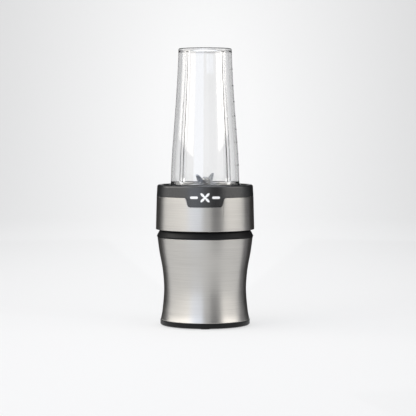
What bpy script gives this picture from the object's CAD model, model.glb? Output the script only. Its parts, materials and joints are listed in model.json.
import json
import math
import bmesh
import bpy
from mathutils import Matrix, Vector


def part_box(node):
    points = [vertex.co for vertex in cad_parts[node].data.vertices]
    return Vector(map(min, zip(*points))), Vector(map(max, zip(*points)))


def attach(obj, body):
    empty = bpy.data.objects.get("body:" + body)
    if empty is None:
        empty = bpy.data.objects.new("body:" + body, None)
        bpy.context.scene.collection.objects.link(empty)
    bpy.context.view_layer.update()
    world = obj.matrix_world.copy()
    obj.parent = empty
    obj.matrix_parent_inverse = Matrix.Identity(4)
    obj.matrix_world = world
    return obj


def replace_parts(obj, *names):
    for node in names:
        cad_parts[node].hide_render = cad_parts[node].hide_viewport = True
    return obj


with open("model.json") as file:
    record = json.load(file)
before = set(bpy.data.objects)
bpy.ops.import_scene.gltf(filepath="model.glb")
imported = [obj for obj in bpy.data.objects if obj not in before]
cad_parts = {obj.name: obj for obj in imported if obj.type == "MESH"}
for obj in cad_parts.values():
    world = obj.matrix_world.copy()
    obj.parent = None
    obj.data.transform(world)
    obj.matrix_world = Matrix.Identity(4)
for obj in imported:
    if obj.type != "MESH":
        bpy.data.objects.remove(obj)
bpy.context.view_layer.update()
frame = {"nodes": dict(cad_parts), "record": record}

# %% [markdown]
# # A countertop blender, built around a CAD frame
# The frame just loaded holds every CAD part of a personal blender, in metres: a waisted motor base, a
# collar that floats on springs, and a clear cup that stands upside down over two blades. This lesson
# keeps the parts whose shape is already right and gives them real finishes. It models again, by hand,
# the ones whose edges and walls the eye lingers on: the cup, the two steel skins and the two blades.
# Everything stays in the frame's own place, so nothing has to be fitted.

MM = 0.001
RECORD = frame["record"]
NODES = frame["nodes"]

# %% [markdown]
# ## Working in edit mode from a script
# A modeller picks faces with the mouse. Here a small helper picks them by where they are, and the
# same edit-mode operators do the rest. Operators act on whatever is selected, so every piece starts by
# deselecting everything.

# %% Edit-mode helpers
ELEMENTS = {"FACE": "faces", "EDGE": "edges", "VERT": "verts"}
MERGE_MM = 0.002


def deselect_objects():
    bpy.ops.object.select_all(action="DESELECT")


def begin(name, primitive, **settings):
    """Adds a primitive as a new piece and opens it in edit mode, all selected."""
    deselect_objects()
    getattr(bpy.ops.mesh, f"primitive_{primitive}_add")(**settings)
    piece = bpy.context.object
    piece.name = piece.data.name = name
    bpy.ops.object.mode_set(mode="EDIT")
    bpy.ops.mesh.select_mode(type="VERT")
    bpy.ops.mesh.select_all(action="SELECT")
    return piece


def pick(piece, kind, test):
    """Selects the faces, edges or vertices whose middle passes the test, and returns how many."""
    bpy.ops.mesh.select_mode(type=kind)
    bpy.ops.mesh.select_all(action="DESELECT")
    shape = bmesh.from_edit_mesh(piece.data)
    chosen = 0
    for element in getattr(shape, ELEMENTS[kind]):
        corners = [element] if kind == "VERT" else element.verts
        middle = sum((v.co for v in corners), Vector()) / len(corners)
        if test(middle):
            element.select_set(True)
            chosen += 1
    shape.select_flush_mode()
    bmesh.update_edit_mesh(piece.data)
    return chosen


def pick_sharp(piece, angle, test):
    """Selects the edges that fold more than the angle and whose middle passes the test."""
    bpy.ops.mesh.select_mode(type="EDGE")
    bpy.ops.mesh.select_all(action="DESELECT")
    bpy.ops.mesh.edges_select_sharp(sharpness=math.radians(angle))
    shape = bmesh.from_edit_mesh(piece.data)
    folds = [edge for edge in shape.edges if edge.select]
    kept = [edge for edge in folds if test((edge.verts[0].co + edge.verts[1].co) / 2)]
    for edge in folds:
        edge.select_set(False)
    for edge in kept:
        edge.select_set(True)
    bmesh.update_edit_mesh(piece.data)
    return len(kept)


def close_up(piece, outward=True):
    """Merges doubled vertices and makes the faces point outwards."""
    bpy.ops.mesh.select_all(action="SELECT")
    bpy.ops.mesh.remove_doubles(threshold=MERGE_MM * MM)
    bpy.ops.mesh.normals_make_consistent(inside=not outward)


def finish_piece(piece, smooth_angle=35.0):
    """Leaves edit mode, puts the origin at the frame's origin and shades the piece smooth."""
    bpy.ops.object.mode_set(mode="OBJECT")
    deselect_objects()
    piece.select_set(True)
    bpy.context.view_layer.objects.active = piece
    bpy.ops.object.transform_apply(location=True, rotation=True, scale=True)
    bpy.ops.object.shade_smooth_by_angle(angle=math.radians(smooth_angle))
    print(f"{piece.name}: {len(piece.data.polygons)} faces")
    return piece


def apply_modifier(piece, kind, **settings):
    """Adds one modifier, sets it and applies it."""
    modifier = piece.modifiers.new(kind.title(), kind)
    for key, value in settings.items():
        setattr(modifier, key, value)
    bpy.ops.object.mode_set(mode="OBJECT")
    deselect_objects()
    piece.select_set(True)
    bpy.context.view_layer.objects.active = piece
    bpy.ops.object.modifier_apply(modifier=modifier.name)


def break_edges(piece, width_mm, segments, angle):
    """Rounds every edge that folds more than the angle."""
    apply_modifier(piece, "BEVEL", width=width_mm * MM, segments=segments,
                   limit_method="ANGLE", angle_limit=math.radians(angle))


def cut_away(piece, cutter):
    """Takes the cutter's volume out of the piece, removes the cutter and reopens edit mode."""
    apply_modifier(piece, "BOOLEAN", operation="DIFFERENCE", solver="EXACT", object=cutter)
    bpy.data.objects.remove(cutter)
    bpy.ops.object.mode_set(mode="EDIT")
    close_up(piece)


# %% [markdown]
# ## Lathe work
# Most of this object is round about one upright axis. On the real line the cup is moulded and the
# steel skins are spun or hydroformed, but each has one profile that goes once round. So one helper
# draws an outline in the plane of +X and Z, vertex by vertex with extrude, and spins it. A curve that
# the outline follows is smoothed first, because a few well-placed points are easier to get right
# than many. A second helper makes a slab from an outline, like the punch that stamps sheet.

# %% Outline and lathe helpers
ROUND_STEPS = 160


def smooth_line(points, between):
    """A smooth (radius, height) line through the points, with extra points between each pair."""
    padded = [points[0]] + list(points) + [points[-1]]
    line = []
    for a, b, c, d in zip(padded, padded[1:], padded[2:], padded[3:]):
        for n in range(between):
            t = n / between
            line.append(tuple(
                0.5 * (2 * q + (r - p) * t + (2 * p - 5 * q + 4 * r - s) * t ** 2
                       + (3 * q - p - 3 * r + s) * t ** 3)
                for p, q, r, s in zip(a, b, c, d)
            ))
    return line + [points[-1]]


def arc_line(centre, radius, first, last, pieces):
    """Points along an arc, from the first to the last angle in degrees."""
    step = (last - first) / pieces
    angles = [math.radians(first + step * n) for n in range(pieces + 1)]
    return [(centre[0] + radius * math.cos(a), centre[1] + radius * math.sin(a)) for a in angles]


def round_corners(points, radius, pieces=8):
    """The same chain of points, with an arc of the radius at every corner but the two end points."""
    line = [points[0]]
    for before, corner, after in zip(points, points[1:], points[2:]):
        here = Vector(corner)
        back = (Vector(before) - here).normalized()
        ahead = (Vector(after) - here).normalized()
        half = back.angle(ahead) / 2
        centre = here + (back + ahead).normalized() * radius / math.sin(half)
        first = here + back * radius / math.tan(half) - centre
        last = here + ahead * radius / math.tan(half) - centre
        start = math.degrees(math.atan2(first.y, first.x))
        end = math.degrees(math.atan2(last.y, last.x))
        turn = (end - start + 180) % 360 - 180
        line += arc_line(centre, radius, start, start + turn, pieces)
    return line + [points[-1]]


def draw_outline(name, outline, closed=True, turn=0.0):
    """A chain of edges through (radius, height) points in mm, at a compass turn, open in edit mode."""
    piece = begin(name, "plane", size=MM)
    bpy.ops.mesh.merge(type="CENTER")
    out = Vector((math.cos(math.radians(turn)), math.sin(math.radians(turn)), 0))
    here = (0.0, 0.0)
    for n, point in enumerate(list(outline) + [outline[0]] * closed):
        step = (out * (point[0] - here[0]) + Vector((0, 0, point[1] - here[1]))) * MM
        if n == 0:
            bpy.ops.transform.translate(value=step)
        else:
            bpy.ops.mesh.extrude_region_move(TRANSFORM_OT_translate={"value": step})
        here = point
    bpy.ops.mesh.select_all(action="SELECT")
    bpy.ops.mesh.remove_doubles(threshold=MERGE_MM * MM)
    return piece


def lathe(name, outline, closed=True, steps=ROUND_STEPS):
    """Spins an outline once round Z and leaves it open in edit mode."""
    piece = draw_outline(name, outline, closed)
    bpy.ops.mesh.spin(steps=steps, angle=2 * math.pi, center=(0, 0, 0), axis=(0, 0, 1))
    close_up(piece)
    return piece


def stamp(name, outline, near, far):
    """A slab whose face is an outline of (x, height) points, from one depth along Y to another."""
    piece = draw_outline(name, outline)
    bpy.ops.mesh.edge_face_add()
    bpy.ops.transform.translate(value=(0, near * MM, 0))
    bpy.ops.mesh.extrude_region_move(TRANSFORM_OT_translate={"value": (0, (far - near) * MM, 0)})
    close_up(piece)
    return finish_piece(piece)


def fill_ends():
    """Closes whatever is still open on the piece in hand."""
    bpy.ops.mesh.select_all(action="DESELECT")
    bpy.ops.mesh.select_non_manifold()
    bpy.ops.mesh.fill()


# %% [markdown]
# ## Colours and nodes
# Finishes are written as sRGB hex values, the way a colour chart gives them, and one function turns
# them into the linear numbers that shaders work in. One more function adds a node, sets it
# and links it.

# %% Colour and node helpers
def srgb(code, alpha=1.0):
    """Linear RGBA from a hex colour such as C8C4BC."""
    channels = [int(code[i:i + 2], 16) / 255 for i in (0, 2, 4)]
    linear = [c / 12.92 if c <= 0.04045 else ((c + 0.055) / 1.055) ** 2.4 for c in channels]
    return (*linear, alpha)


def add(tree, kind, inputs=None, **settings):
    """Adds a node, sets its properties, and sets or links its inputs."""
    node = tree.nodes.new(kind)
    for key, value in settings.items():
        setattr(node, key, value)
    for key, value in (inputs or {}).items():
        if isinstance(value, bpy.types.NodeSocket):
            tree.links.new(value, node.inputs[key])
        else:
            node.inputs[key].default_value = value
    return node


def new_material(name, **sockets):
    """A material with one shader; returns the material, its node tree and the shader."""
    material = bpy.data.materials.new(name)
    material.use_nodes = True
    tree = material.node_tree
    shader = tree.nodes["Principled BSDF"]
    for key, value in sockets.items():
        shader.inputs[key.replace("_", " ")].default_value = value
    return material, tree, shader


def stretched_noise(tree, size_mm, detail=2.0, roughness=0.5):
    """Noise whose grains measure size_mm along X, Y and Z, in the object's own coordinates."""
    place = add(tree, "ShaderNodeTexCoord")
    scale = tuple(1.0 / (s * MM) for s in size_mm)
    mapping = add(tree, "ShaderNodeMapping", {"Vector": place.outputs["Object"], "Scale": scale})
    return add(tree, "ShaderNodeTexNoise", {
        "Vector": mapping.outputs["Vector"], "Scale": 1.0, "Detail": detail, "Roughness": roughness,
    }).outputs["Fac"]


def spread(tree, factor, low, high, from_low=0.3, from_high=0.7):
    """Spreads a 0 to 1 pattern over another range."""
    return add(tree, "ShaderNodeMapRange", {
        "Value": factor, "From Min": from_low, "From Max": from_high, "To Min": low, "To Max": high,
    }).outputs["Result"]


def tint(tree, factor, dark, light):
    """A colour that goes from dark to light with the factor."""
    ramp = add(tree, "ShaderNodeValToRGB", {"Fac": factor})
    ramp.color_ramp.elements[0].color = srgb(dark)
    ramp.color_ramp.elements[1].color = srgb(light)
    return ramp.outputs["Color"]


def relief(tree, height, depth_mm, strength=1.0, normal=None):
    """A bump of depth_mm from a 0 to 1 height."""
    links = {"Height": height, "Distance": depth_mm * MM, "Strength": strength}
    if normal is not None:
        links["Normal"] = normal
    return add(tree, "ShaderNodeBump", links).outputs["Normal"]


# %% [markdown]
# ## Brushed stainless steel
# The body sleeve and the collar band are 304 stainless sheet, brushed round and round with an abrasive
# belt of about 150 grit. Each scratch is some 0.1 mm wide and several centimetres long. That gives
# two things to the eye: reflections smear upright into soft bands, and faint level lines run across
# them. The smear comes from anisotropic gloss with its tangent turned round the upright axis. The real
# scratches are too fine to show at this size, so the pattern is drawn with lines 0.5 mm apart.

# %% Brushed stainless
def brushed_stainless():
    material, tree, shader = new_material(
        "stainless_304_brushed_round", Metallic=1.0, Anisotropic=0.62, Anisotropic_Rotation=0.25)
    lines = stretched_noise(tree, (60, 60, 0.5), detail=3.0, roughness=0.6)
    links = tree.links
    links.new(tint(tree, spread(tree, lines, 0, 1), "B7B5B1", "C4C2BE"), shader.inputs["Base Color"])
    links.new(spread(tree, lines, 0.30, 0.36), shader.inputs["Roughness"])
    links.new(relief(tree, lines, 0.006, 0.5), shader.inputs["Normal"])
    around = add(tree, "ShaderNodeTangent", direction_type="RADIAL", axis="Z")
    links.new(around.outputs["Tangent"], shader.inputs["Tangent"])
    return material


STEEL_SKIN = brushed_stainless()

# %% [markdown]
# ## Moulded plastics, rubber and graphite
# The housing and base are ABS with a fine spark-eroded texture, about 0.4 mm from grain to grain,
# which breaks up gloss. The rim comes from a polished tool and shows a broad satin gloss, with only
# the faint waviness that shrinkage leaves. The couplings are glass-filled nylon, duller and slightly
# mottled, and small parts inside are natural nylon or dark PBT. The feet are moulded rubber, the
# seals silicone with a soft sheen, and the brushes pressed graphite. The sign on the tab is a white
# inlay. All are moulded or pressed, so one function makes them from a base colour, a gloss and the
# size and depth of the grain.

# %% Moulded materials
def moulded_plastic(name, dark, light, gloss, grain_mm, depth_mm, wave_mm=18.0, gleam=0.5):
    """Opaque moulded plastic with a grained surface and a faint waviness."""
    material, tree, shader = new_material(name, IOR=1.53, Specular_IOR_Level=gleam)
    grain = stretched_noise(tree, (grain_mm,) * 3, detail=1.0)
    wave = stretched_noise(tree, (wave_mm,) * 3, detail=1.0)
    links = tree.links
    links.new(tint(tree, spread(tree, wave, 0, 1), dark, light), shader.inputs["Base Color"])
    links.new(spread(tree, grain, gloss - 0.05, gloss + 0.05), shader.inputs["Roughness"])
    slow = relief(tree, wave, 0.06, 0.3)
    links.new(relief(tree, grain, depth_mm, 0.5, slow), shader.inputs["Normal"])
    return material


ABS_TEXTURED = moulded_plastic("abs_black_spark_textured", "0C0C0D", "121213", 0.42, 0.45, 0.03, gleam=0.2)
ABS_SATIN = moulded_plastic("abs_black_satin_rim", "131415", "1A1B1C", 0.3, 0.6, 0.012, gleam=0.85)
NYLON_BLACK = moulded_plastic("nylon_black_glass_filled", "141415", "202022", 0.5, 0.8, 0.03, 3.0)
NYLON_WHITE = moulded_plastic("nylon_natural_moulded", "D9D5C8", "E6E2D6", 0.42, 0.7, 0.015)
HOUSING_GREY = moulded_plastic("pbt_dark_component", "202024", "2B2B30", 0.4, 0.5, 0.02)
RUBBER = moulded_plastic("rubber_black_moulded", "101010", "191919", 0.75, 0.7, 0.04, 5.0)
SILICONE = moulded_plastic("silicone_grey_gasket", "6E7174", "7C7F82", 0.5, 1.2, 0.01)
GRAPHITE = moulded_plastic("graphite_pressed_brush", "1A1B1D", "2A2B2E", 0.6, 0.25, 0.03, 2.0)
WHITE_INLAY = moulded_plastic("abs_white_inlay", "E4E5E6", "F2F2F2", 0.35, 0.8, 0.005)


# %% [markdown]
# ## Metals inside and on the blades
# Ground blade steel has short parallel scratches. Turned steel shows fine rings, die-cast aluminium a
# sandy skin, zinc plate a faint mottling, and drawn spring wire a dull even sheen. One function
# makes them all from a grain size in each direction.

# %% Metals
def worked_metal(name, dark, light, gloss, grain_mm, depth_mm, **sockets):
    """Bare metal with a directional grain."""
    material, tree, shader = new_material(name, Metallic=1.0, **sockets)
    grain = stretched_noise(tree, grain_mm, detail=2.0)
    links = tree.links
    links.new(tint(tree, spread(tree, grain, 0, 1), dark, light), shader.inputs["Base Color"])
    links.new(spread(tree, grain, gloss - 0.06, gloss + 0.06), shader.inputs["Roughness"])
    links.new(relief(tree, grain, depth_mm, 0.5), shader.inputs["Normal"])
    return material


BLADE_STEEL = worked_metal("stainless_420_ground_blade", "B4B6B8", "D6D8DA", 0.24, (0.35, 6, 6), 0.01)
TURNED_STEEL = worked_metal("steel_turned_and_ground", "A6A6A5", "C2C2C1", 0.22, (8, 8, 0.3), 0.006)
ZINC_PLATE = worked_metal("steel_zinc_plated_screw", "A9AAA4", "C7C8C2", 0.36, (0.8, 0.8, 0.8), 0.01)
SPRING_WIRE = worked_metal("spring_steel_drawn", "77787A", "929395", 0.33, (0.5, 0.5, 0.5), 0.006)
CAST_ALUMINIUM = worked_metal("aluminium_die_cast", "A8A9AA", "BFC0C1", 0.48, (0.9, 0.9, 0.9), 0.05)
BRASS = worked_metal("brass_stamped_sheet", "B08D4A", "CDA964", 0.3, (0.5, 0.5, 4), 0.008)
LAMINATION = worked_metal("silicon_steel_laminations", "3B3C3F", "6A6B6E", 0.45, (30, 30, 0.5), 0.08)
COPPER_WIRE = worked_metal("copper_enamelled_winding", "7A341A", "B4602F", 0.32, (12, 0.6, 0.6), 0.15)

# %% [markdown]
# ## Clear copolyester
# The cup is injection-moulded copolyester, a clear tough plastic with an index near 1.54. It's
# thick, so its edges gather the room's darker tones, and a moulded surface is never quite flat: a
# slow ripple of a few hundredths of a millimetre makes reflections wander a little. The gloss is a
# shade below glass.

# %% Clear plastic
def clear_copolyester():
    material, tree, shader = new_material("copolyester_clear_moulded", IOR=1.54, Roughness=0.03)
    shader.inputs["Transmission Weight"].default_value = 1.0
    shader.inputs["Base Color"].default_value = srgb("FBFBFB")
    ripple = stretched_noise(tree, (14, 14, 22), detail=1.0)
    tree.links.new(relief(tree, ripple, 0.05, 0.4), shader.inputs["Normal"])
    return material


CLEAR_CUP = clear_copolyester()


# %% [markdown]
# ## Circuit board
# Green solder mask over copper tracks: the tracks show as slightly lighter, raised lanes about
# 2 mm apart.

# %% Circuit board
def solder_mask():
    material, tree, shader = new_material("solder_mask_green_laminate", Roughness=0.35, IOR=1.5)
    place = add(tree, "ShaderNodeTexCoord")
    turn = add(tree, "ShaderNodeMapping", {
        "Vector": place.outputs["Object"], "Rotation": (math.radians(90), 0, 0)})
    tracks = add(tree, "ShaderNodeTexBrick", {
        "Vector": turn.outputs["Vector"], "Scale": 1.0,
        "Brick Width": 9 * MM, "Row Height": 2 * MM, "Mortar Size": 0.25 * MM,
        "Color1": srgb("14532D"), "Color2": srgb("1B6638"), "Mortar": srgb("0C3A1F"),
    })
    raised = spread(tree, tracks.outputs["Fac"], 1, 0, 0, 1)
    tree.links.new(tracks.outputs["Color"], shader.inputs["Base Color"])
    tree.links.new(relief(tree, raised, 0.04), shader.inputs["Normal"])
    return material


SOLDER_MASK = solder_mask()

# %% [markdown]
# ## Finishes on the CAD parts
# The record names a material slot for every part. Each slot gets its finish in one table, so that a part
# shares its look with everything made of the same stuff.

# %% Dress the CAD parts
FINISHES = {
    "brushed_stainless": STEEL_SKIN, "black_abs": ABS_TEXTURED, "black_gloss_abs": ABS_SATIN,
    "clear_copolyester": CLEAR_CUP, "black_rubber": RUBBER, "grey_silicone": SILICONE,
    "white_inlay": WHITE_INLAY, "machined_steel": TURNED_STEEL, "spring_steel": SPRING_WIRE,
    "zinc_screw_steel": ZINC_PLATE, "blade_steel": BLADE_STEEL, "electrical_steel": LAMINATION,
    "copper_wire": COPPER_WIRE, "brass_sheet": BRASS, "carbon_graphite": GRAPHITE,
    "cast_aluminium": CAST_ALUMINIUM, "circuit_laminate": SOLDER_MASK, "white_nylon": NYLON_WHITE,
    "component_plastic": HOUSING_GREY,
}
SLOT_OF = {row["node"]: row["material_slot"] for row in RECORD["subparts"]}
SPECIAL = {"drive_coupling": NYLON_BLACK, "driven_coupling": NYLON_BLACK}

for name, node in NODES.items():
    finish = SPECIAL.get(name, FINISHES[SLOT_OF[name]])
    node.data.materials.clear()
    node.data.materials.append(finish)
print("dressed", len(NODES), "CAD parts")

# %% [markdown]
# ## The two steel skins
# The sleeve of the base is one spun tube with a waist, and the collar band is a short one, almost
# straight. Both are stainless sheet 0.8 mm thick. Their raw edges would cut a hand, so they are
# rolled over: it is that small round lip which catches the light along every edge. Each skin is
# turned on the lathe, its opening is stamped out with a slab, and the outer edges are bevelled round.
# The sleeve's opening clears the cord's gland, low at the back. The band's clears the black tab that
# hangs from the rim, with a seam just wide enough to see.

# %% Body sleeve
SHEET = 0.8
LIP = 0.65
FOLD_ANGLE = 40
SLIVER_MM = 0.06
SLEEVE_LINE = [(50.45, 6.6), (48.4, 17.5), (46.58, 40.5), (48.1, 62.8), (51.8, 83.5), (54.0, 100.2)]
GLAND_HALF, GLAND_HEIGHT = 6.1, 13.0


def roll_edges(piece, inside_at):
    """Rounds the sharp edges that lie further out than the sheet's middle."""
    bpy.ops.mesh.select_all(action="SELECT")
    bpy.ops.mesh.remove_doubles(threshold=SLIVER_MM * MM)
    folds = pick_sharp(piece, FOLD_ANGLE, lambda m: m.xy.length > inside_at(m.z / MM) * MM)
    bpy.ops.mesh.bevel(offset=LIP * MM, segments=3, profile=0.5, affect="EDGES", clamp_overlap=False)
    print(f"{piece.name}: rolled the edge along {folds} folds")
    close_up(piece)
    finish_piece(piece, 30.0)
    apply_modifier(piece, "WEIGHTED_NORMAL", keep_sharp=True)
    return piece


def radius_at(line, height):
    """Radius of a (radius, height) line at a height, straight between its points."""
    for (r0, z0), (r1, z1) in zip(line, line[1:]):
        if height <= z1:
            return r0 + (r1 - r0) * (height - z0) / (z1 - z0)
    return line[-1][0]


def body_sleeve():
    outer = smooth_line(SLEEVE_LINE, 8)
    piece = lathe("spun_body_sleeve", outer + [(r - SHEET, z) for r, z in outer[::-1]])
    arch = [(-GLAND_HALF, -1.0), (GLAND_HALF, -1.0)] + arc_line((0, GLAND_HEIGHT), GLAND_HALF, 0, 180, 20)
    bpy.ops.object.mode_set(mode="OBJECT")
    cut_away(piece, stamp("gland_slab", arch, 40, 60))
    return roll_edges(piece, lambda z: radius_at(outer, z) - SHEET / 2)


sleeve = body_sleeve()
sleeve.data.materials.append(STEEL_SKIN)
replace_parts(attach(sleeve, "base"), "body_sleeve")

# %% Collar band
BAND_TOP = 146.5
BAND_TOP_RADIUS = 54.85
TAB_BOTTOM, TAB_TOP_HALF, TAB_BOTTOM_HALF, TAB_CORNER = 136.3, 20.9, 18.5, 3.0
SEAM = 0.12
SLAB_HALF, SLAB_TOP = 70, 170


def tab_outline(grow):
    """The black strip above the band and its hanging tab, as one outline with round corners."""
    top, bottom = BAND_TOP - grow, TAB_BOTTOM - grow
    tab = [
        (-SLAB_HALF, top), (-TAB_TOP_HALF - grow, top), (-TAB_BOTTOM_HALF - grow, bottom),
        (TAB_BOTTOM_HALF + grow, bottom), (TAB_TOP_HALF + grow, top), (SLAB_HALF, top),
    ]
    return round_corners(tab, TAB_CORNER) + [(SLAB_HALF, SLAB_TOP), (-SLAB_HALF, SLAB_TOP)]


def collar_band():
    lowest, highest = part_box("collar_band")
    line = [(highest.x / MM, lowest.z / MM), (BAND_TOP_RADIUS, BAND_TOP)]
    piece = lathe("stamped_collar_band", line + [(r - SHEET, z) for r, z in line[::-1]])
    bpy.ops.object.mode_set(mode="OBJECT")
    cut_away(piece, stamp("tab_slab", tab_outline(SEAM), -SLAB_HALF, -20))
    return roll_edges(piece, lambda z: radius_at(line, z) - SHEET / 2)


band = collar_band()
band.data.materials.append(STEEL_SKIN)
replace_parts(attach(band, "collar"), "collar_band")

# %% [markdown]
# ## The clear cup
# The cup is moulded mouth up and used mouth down. Its wall tapers, its closed end is dished between a
# low standing ring and the wall, and four ribs run inside from end to end, to stir the load. A flange
# near the mouth stops it on the blade base. One outline, outside and inside together, makes a closed
# wall that light can bend through. The ribs are drawn out of the inner wall's own faces, so there is
# no hidden skin inside the plastic.

# %% Cup wall
WALL = 2.4
CUP_MOUTH, CUP_END = [corner.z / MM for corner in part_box("cup")]
FLANGE_RADIUS = 41.2
MOUTH_RADIUS = 38.9
CUP_LINE = [
    (38.7, 164.0), (37.65, 190.0), (35.8, 216.0), (33.6, 245.5),
    (31.65, 275.0), (30.55, 296.0), (30.1, 309.5),
]
END_THICKNESS, DISH_DEPTH = 1.9, 0.9
OUTER_CORNER, INNER_CORNER = 1.5, 2.0
RIB_DEPTH, RIB_HALF_ANGLE = 1.9, 4.6
RIB_LOW, RIB_HIGH = 166.0, 309.0


def clear_cup():
    outer = smooth_line(CUP_LINE, 4)
    flange = [
        (38.8, 157.2), (40.6, 157.2), (FLANGE_RADIUS, 157.8),
        (FLANGE_RADIUS, 158.6), (40.4, 159.4), (MOUTH_RADIUS, 160.0),
    ]
    last = outer[-1][0]
    end = arc_line((last - OUTER_CORNER, CUP_END - OUTER_CORNER), OUTER_CORNER, 4, 88, 6)
    dish = [(last - 3.4, CUP_END), (last - 4.6, CUP_END - DISH_DEPTH), (0.0, CUP_END - DISH_DEPTH)]
    ceiling = CUP_END - END_THICKNESS - DISH_DEPTH
    inner_end = arc_line((last - WALL - INNER_CORNER, ceiling - INNER_CORNER), INNER_CORNER, 90, 0, 6)
    inner = [(r - WALL, z) for r, z in outer[::-1] if z < ceiling - INNER_CORNER - 0.2]
    inner.append((MOUTH_RADIUS - WALL, CUP_MOUTH))
    outline = [(MOUTH_RADIUS, CUP_MOUTH), *flange, *outer, *end, *dish]
    piece = lathe("moulded_cup", [(0.0, ceiling), *inner_end, *inner, *outline], closed=False)
    for turn in (45, 135, 225, 315):
        middle = Vector((math.cos(math.radians(turn)), math.sin(math.radians(turn))))
        pick(piece, "FACE", lambda m: RIB_LOW * MM < m.z < RIB_HIGH * MM
             and m.xy.length < (radius_at(outer, m.z / MM) - WALL / 2) * MM
             and m.xy.length > 20 * MM and math.degrees(m.xy.angle(middle)) < RIB_HALF_ANGLE)
        bpy.ops.mesh.extrude_region_shrink_fatten(TRANSFORM_OT_shrink_fatten={"value": RIB_DEPTH * MM})
    close_up(piece)
    break_edges(piece, 0.4, 2, 38)
    return finish_piece(piece, 30.0)


cup = clear_cup()
cup.data.materials.append(CLEAR_CUP)
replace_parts(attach(cup, "cup_body"), "cup")

# %% [markdown]
# ## Thread and volume marks
# The mouth has a two-turn thread for the blade base, and low raised bars on one side mark every 50 ml
# for a cup stood mouth up. Both are moulded with the wall. Modelled apart, they sit on its skin, so
# that the wall's lathe work stays simple. The thread is one small outline swept by a Screw modifier;
# each bar is a small outline spun through a few degrees.

# %% Mouth thread
THREAD_START, THREAD_PITCH, THREAD_TURNS = 135.6, 5.6, 2
THREAD_ROOT, THREAD_CREST = 38.88, 41.0
THREAD_STEPS = 72


def mouth_thread():
    ridge = [(THREAD_ROOT, -1.6), (THREAD_CREST, -0.7), (THREAD_CREST, 0.7), (THREAD_ROOT, 1.6)]
    piece = draw_outline("mouth_thread", [(r, THREAD_START + z) for r, z in ridge])
    apply_modifier(piece, "SCREW", screw_offset=THREAD_PITCH * MM, iterations=THREAD_TURNS,
                   steps=THREAD_STEPS, render_steps=THREAD_STEPS)
    bpy.ops.object.mode_set(mode="EDIT")
    fill_ends()
    close_up(piece)
    return finish_piece(piece, 30.0)


# %% Volume marks
MARK_STEP_ML = 50
MARK_HALF_HEIGHT, MARK_RELIEF = 0.45, 0.4
LONG_MARK, SHORT_MARK = 9.0, 5.0
LOWEST_MARK = 173.0
SLICE = 0.25


def mark_heights(line):
    """Heights at which the cup, stood mouth up, holds each multiple of MARK_STEP_ML."""
    heights = []
    held = 0.0
    z = CUP_END - END_THICKNESS - DISH_DEPTH
    while z > LOWEST_MARK:
        held += math.pi * (radius_at(line, z) - WALL) ** 2 * SLICE / 1000
        z -= SLICE
        if held >= MARK_STEP_ML * (len(heights) + 1):
            heights.append(z)
    return heights


def volume_mark(number, z):
    """One raised bar, long for every second mark; half is half its width, in degrees round the cup."""
    r = radius_at(CUP_LINE, z)
    half = LONG_MARK if number % 2 else SHORT_MARK
    bar = [(r, z - MARK_HALF_HEIGHT), (r + MARK_RELIEF, z - MARK_HALF_HEIGHT + 0.1),
           (r + MARK_RELIEF, z + MARK_HALF_HEIGHT - 0.1), (r, z + MARK_HALF_HEIGHT)]
    piece = draw_outline(f"volume_mark_{number + 1}", bar, turn=half)
    bpy.ops.mesh.spin(steps=10, angle=math.radians(2 * half), center=(0, 0, 0), axis=(0, 0, 1))
    fill_ends()
    close_up(piece)
    return finish_piece(piece, 30.0)


marks = [volume_mark(n, z) for n, z in enumerate(mark_heights(CUP_LINE))]
for piece in [mouth_thread(), *marks]:
    piece.data.materials.append(CLEAR_CUP)
    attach(piece, "cup_body")

# %% [markdown]
# ## Blades
# Each blade is stamped from 1.5 mm stainless strip, bent at the hub and ground to an edge on its
# leading side. Both start as a hub block; the arms are extruded from its two ends with the bend
# already in the move, narrowed at the tip, and the leading edges are bevelled wide like the real grind.

# %% Blades
BLADE_THICK = 1.5
GRIND = 1.7


def two_arm_blade(node, low, bend_start, reach, tilt, root, tip, turn):
    """A bent blade with its flat middle's underside at low; turn is its compass angle in degrees."""
    piece = begin(f"ground_{node}", "cube", size=1.0)
    bpy.ops.transform.resize(value=(2 * bend_start * MM, 2 * root * MM, BLADE_THICK * MM))
    bpy.ops.transform.translate(value=(0, 0, (low + BLADE_THICK / 2) * MM))
    run = (reach - bend_start) * MM
    slope = math.tan(math.radians(tilt))
    for side in (-1, 1):
        pick(piece, "FACE", lambda m: m.x * side > 0.99 * bend_start * MM)
        bpy.ops.mesh.extrude_region_move(TRANSFORM_OT_translate={"value": (side * run, 0, run * slope)})
        bpy.ops.transform.resize(value=(1, tip / root, 1))
        bpy.ops.transform.translate(value=(0, -side * 0.6 * MM, 0))

    def leads_on_top(m):
        out = abs(m.x) - bend_start * MM
        above = m.z > low * MM + out * slope + 0.7 * BLADE_THICK * MM
        return out > 0 and m.x * m.y > 0 and above and abs(m.x) < 0.97 * reach * MM

    pick(piece, "EDGE", leads_on_top)
    bpy.ops.mesh.bevel(offset=GRIND * MM, segments=1, affect="EDGES", clamp_overlap=True)
    bpy.ops.mesh.select_all(action="SELECT")
    bpy.ops.transform.rotate(value=math.radians(-turn), orient_axis="Z", center_override=(0, 0, 0))
    close_up(piece)
    break_edges(piece, 0.12, 1, 25)
    piece.data.materials.append(BLADE_STEEL)
    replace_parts(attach(finish_piece(piece, 25.0), "blade_rotor"), node)
    lowest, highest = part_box(node)
    print("  CAD size mm:", [round(v / MM, 1) for v in highest - lowest])
    print("  made:", [round(v / MM, 1) for v in piece.dimensions])
    return piece


two_arm_blade("lower_blade", 156.0, 11.0, 31.0, -14.0, 6.0, 2.4, 0)
two_arm_blade("upper_blade", 160.3, 9.0, 25.0, 32.0, 5.6, 2.0, 72)

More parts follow.
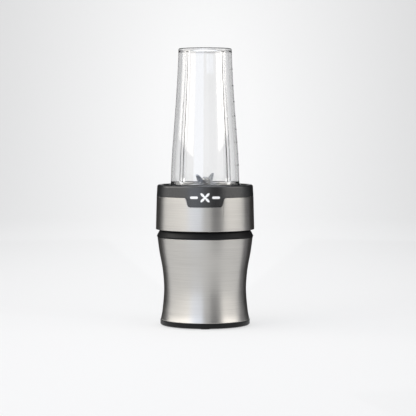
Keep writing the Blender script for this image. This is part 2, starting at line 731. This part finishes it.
# %% [markdown]
# ## Floor, light and camera
# A product shot on white: a pale floor that sweeps up into a wall, large soft lights and a long lens
# far away, so that upright sides stay nearly parallel. The camera stands a little above the middle of
# the object and looks slightly down, which shows the tops of its rims as flat ovals. The paper glows
# faintly, brightest behind the object, the way a backdrop does when it has lights of its own.

# %% Camera
CAMERA_DISTANCE, CAMERA_HEIGHT, CAMERA_SIDE = 1.9, 0.230, 0.0033
CAMERA_TILT, LENS_MM = 2.93, 145.2

deselect_objects()
bpy.ops.object.camera_add(
    location=(CAMERA_SIDE, -CAMERA_DISTANCE, CAMERA_HEIGHT), rotation=(math.radians(90 - CAMERA_TILT), 0, 0))
camera = bpy.context.object
camera.name = "studio_camera"
camera.data.lens = LENS_MM
camera.data.sensor_width = 36.0
camera.data.clip_start, camera.data.clip_end = 0.05, 50.0
bpy.context.scene.camera = camera
print("camera", [round(v, 4) for v in camera.location], "lens", LENS_MM)


# %% Floor and backdrop
FLOOR_RADIUS, BEND_RADIUS, WALL_HEIGHT = 2000.0, 700.0, 3200.0
BACKDROP_GLOW, BACKDROP_FADE = 0.66, 0.66


def studio_sweep():
    """A floor that curves up into a back wall all round, far outside the object."""
    bend = arc_line((FLOOR_RADIUS, BEND_RADIUS), BEND_RADIUS, -90, 0, 12)[1:]
    wall = [(0.0, 0.0), (FLOOR_RADIUS, 0.0)] + bend + [(FLOOR_RADIUS + BEND_RADIUS, WALL_HEIGHT)]
    piece = begin("studio_sweep", "plane", size=MM)
    bpy.ops.mesh.merge(type="CENTER")
    for a, b in zip(wall, wall[1:]):
        step = ((b[0] - a[0]) * MM, 0, (b[1] - a[1]) * MM)
        bpy.ops.mesh.extrude_region_move(TRANSFORM_OT_translate={"value": step})
    bpy.ops.mesh.select_all(action="SELECT")
    bpy.ops.mesh.spin(steps=64, angle=2 * math.pi, center=(0, 0, 0), axis=(0, 0, 1))
    close_up(piece, outward=False)
    return finish_piece(piece, 60.0)


def backdrop_paper(glow, fade):
    """Pale paper lit from behind: brightest on the wall behind the object, fading outwards."""
    material, tree, shader = new_material("paper_backdrop_lit", Roughness=0.9, IOR=1.4)
    place = add(tree, "ShaderNodeTexCoord").outputs["Object"]
    pool = add(tree, "ShaderNodeMapping", {
        "Vector": place, "Location": (0, -0.31, -0.12), "Scale": (1.0, 0.12, 0.5)})
    far = add(tree, "ShaderNodeVectorMath", {0: pool.outputs["Vector"]}, operation="LENGTH")
    strength = spread(tree, far.outputs["Value"], glow, glow * fade, 0.12, 0.62)
    tree.links.new(strength, shader.inputs["Emission Strength"])
    shader.inputs["Emission Color"].default_value = srgb("FFFFFF")
    grain = stretched_noise(tree, (3, 3, 3), detail=2.0)
    tree.links.new(tint(tree, grain, "929292", "969696"), shader.inputs["Base Color"])
    return material


sweep = studio_sweep()
sweep.data.materials.append(backdrop_paper(BACKDROP_GLOW, BACKDROP_FADE))


# %% [markdown]
# ## Dark screens
# Round polished metal mirrors the whole room, so a photographer draws its edges with black cloth
# behind and beside the object, with a strip of grey next to it to soften the step. A grey card in
# front, right of the middle, puts the darker streak down the steel. Each is laid on the floor and up a
# round frame. Only reflections see them: they throw no shadow and never stand in the picture.

# %% Screens
SCREEN_DISTANCE = 1.4
SCREEN_HEIGHT = 1.7
BY_THE_OBJECT, IN_FRONT = 0.08, 0.5


def curved_screen(name, inner, first, last, material):
    """Cloth on the floor and up a round frame, between two compass angles: 0 is the front, 90 the right."""
    piece = begin(name, "plane", size=MM)
    bpy.ops.mesh.merge(type="CENTER")
    turn = math.radians(first)
    out = Vector((math.sin(turn), -math.cos(turn), 0))
    bpy.ops.transform.translate(value=out * inner + Vector((0, 0, MM)))
    bpy.ops.mesh.extrude_region_move(TRANSFORM_OT_translate={"value": out * (SCREEN_DISTANCE - inner)})
    bpy.ops.mesh.extrude_region_move(TRANSFORM_OT_translate={"value": (0, 0, SCREEN_HEIGHT)})
    bpy.ops.mesh.select_all(action="SELECT")
    bpy.ops.mesh.spin(steps=24, angle=math.radians(first - last), center=(0, 0, 0), axis=(0, 0, 1))
    piece.data.materials.append(material)
    finish_piece(piece, 60.0)
    for ray in ("camera", "shadow", "diffuse", "transmission"):
        setattr(piece, f"visible_{ray}", False)
    return piece


def felt(name, dark, light):
    """Matt cloth with a fibrous nap."""
    material, tree, shader = new_material(name, Roughness=1.0, IOR=1.3)
    nap = stretched_noise(tree, (2, 2, 6), detail=2.0)
    tree.links.new(tint(tree, nap, dark, light), shader.inputs["Base Color"])
    return material


BLACK_FELT = felt("felt_black_screen", "1C1C1C", "262626")
GREY_FELT = felt("felt_grey_screen", "6A6A6C", "747476")
curved_screen("screen_left", BY_THE_OBJECT, -172, -126, BLACK_FELT)
curved_screen("screen_left_edge", BY_THE_OBJECT, -126, -114, GREY_FELT)
curved_screen("screen_right", BY_THE_OBJECT, 126, 172, BLACK_FELT)
curved_screen("screen_right_edge", BY_THE_OBJECT, 104, 126, GREY_FELT)
curved_screen("screen_front", IN_FRONT, 14, 40, GREY_FELT)


# %% [markdown]
# ## Soft lights
# Four softboxes: a large warm one on the left, a low one on the right that lights the foot of the body
# more than the collar, a cool one in front on the left, which leaves the bluish band beside the streak,
# and one overhead. Each is set by how bright its face is, since that is what the steel mirrors.

# %% Lights
def softbox(name, location, aim, size, radiance, colour="FFFFFF"):
    """A rectangular light that faces a point; its face glows with the same radiance whatever its size."""
    deselect_objects()
    bpy.ops.object.light_add(type="AREA", location=location)
    lamp = bpy.context.object
    lamp.name = name
    lamp.data.shape = "RECTANGLE"
    lamp.data.size, lamp.data.size_y = size
    lamp.data.energy = radiance * math.pi * size[0] * size[1]
    lamp.data.color = srgb(colour)[:3]
    lamp.rotation_euler = (Vector(aim) - Vector(location)).to_track_quat("-Z", "Y").to_euler()
    return lamp


AIM = (0, 0, 0.16)
softbox("left_softbox", (-1.48, -0.35, 0.95), AIM, (2.5, 1.3), 2.1, "FFFAF3")
softbox("right_softbox", (1.43, -0.46, 0.66), AIM, (1.4, 0.6), 2.6, "FFFAF3")
softbox("front_softbox", (-0.72, -1.7, 0.75), AIM, (1.2, 1.3), 1.35, "DCE8FF")
softbox("top_softbox", (0, 0.1, 2.4), AIM, (2.0, 2.0), 1.6, "F2F6FF")

world = bpy.data.worlds.new("studio_air")
world.use_nodes = True
air = world.node_tree.nodes["Background"]
air.inputs["Color"].default_value = srgb("ECF0F6")
air.inputs["Strength"].default_value = 0.6
bpy.context.scene.world = world
bpy.context.scene.view_settings.view_transform = "Standard"
